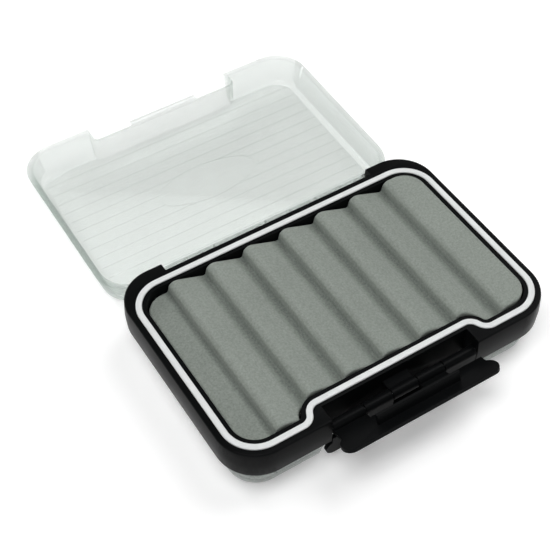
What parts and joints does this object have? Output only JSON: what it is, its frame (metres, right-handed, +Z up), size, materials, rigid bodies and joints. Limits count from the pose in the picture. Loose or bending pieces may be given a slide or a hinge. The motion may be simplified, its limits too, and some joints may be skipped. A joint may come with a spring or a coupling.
{
  "type": "fly box",
  "caption": "Double-sided fly box with rippled foam, white rim seals, clear hinged lids and latch flaps on a black frame.",
  "frame": {"origin": "on the resting face, under the middle of the seal outline", "axes": "+X along the hinge pin, +Y from the latches to the hinge and the open lid, +Z up. The lower lid is shut and the upper lid is open."},
  "size_m": [0.1252, 0.1798, 0.0247],
  "materials": {
    "frame_black": "satin black ABS",
    "latch_black": "satin black ABS",
    "lid_clear": "clear moulded plastic",
    "seal_white": "soft white silicone",
    "foam_grey": "closed-cell grey foam, matt",
    "tape_paper": "adhesive sheet",
    "pin_steel": "plain steel rod"
  },
  "bodies": {
    "case_frame": {"frame": "frame_black", "upper_seal": "seal_white", "lower_seal": "seal_white", "upper_foam": "foam_grey", "lower_foam": "foam_grey", "upper_foam_tape": "tape_paper", "lower_foam_tape": "tape_paper", "hinge_pin": "pin_steel", "latch_pin": "pin_steel"},
    "upper_lid_body": {"upper_lid": "lid_clear"},
    "lower_lid_body": {"lower_lid": "lid_clear"},
    "upper_latch_body": {"upper_latch": "latch_black"},
    "lower_latch_body": {"lower_latch": "latch_black"}
  },
  "joints": [
    {"name": "upper_lid_hinge", "type": "hinge", "parent": "case_frame", "child": "upper_lid_body", "pos_m": [0, 0.0437, 0.01775], "axis": [1, 0, 0], "range_deg": [0, 178]},
    {"name": "lower_lid_hinge", "type": "hinge", "parent": "case_frame", "child": "lower_lid_body", "pos_m": [0, 0.0437, 0.01775], "axis": [1, 0, 0], "range_deg": [0, 33]},
    {"name": "upper_latch_hinge", "type": "hinge", "parent": "case_frame", "child": "upper_latch_body", "pos_m": [0, -0.0393, 0.01775], "axis": [1, 0, 0], "range_deg": [-78, 0]},
    {"name": "lower_latch_hinge", "type": "hinge", "parent": "case_frame", "child": "lower_latch_body", "pos_m": [0, -0.0393, 0.01775], "axis": [-1, 0, 0], "range_deg": [-5, 53]}
  ]
}
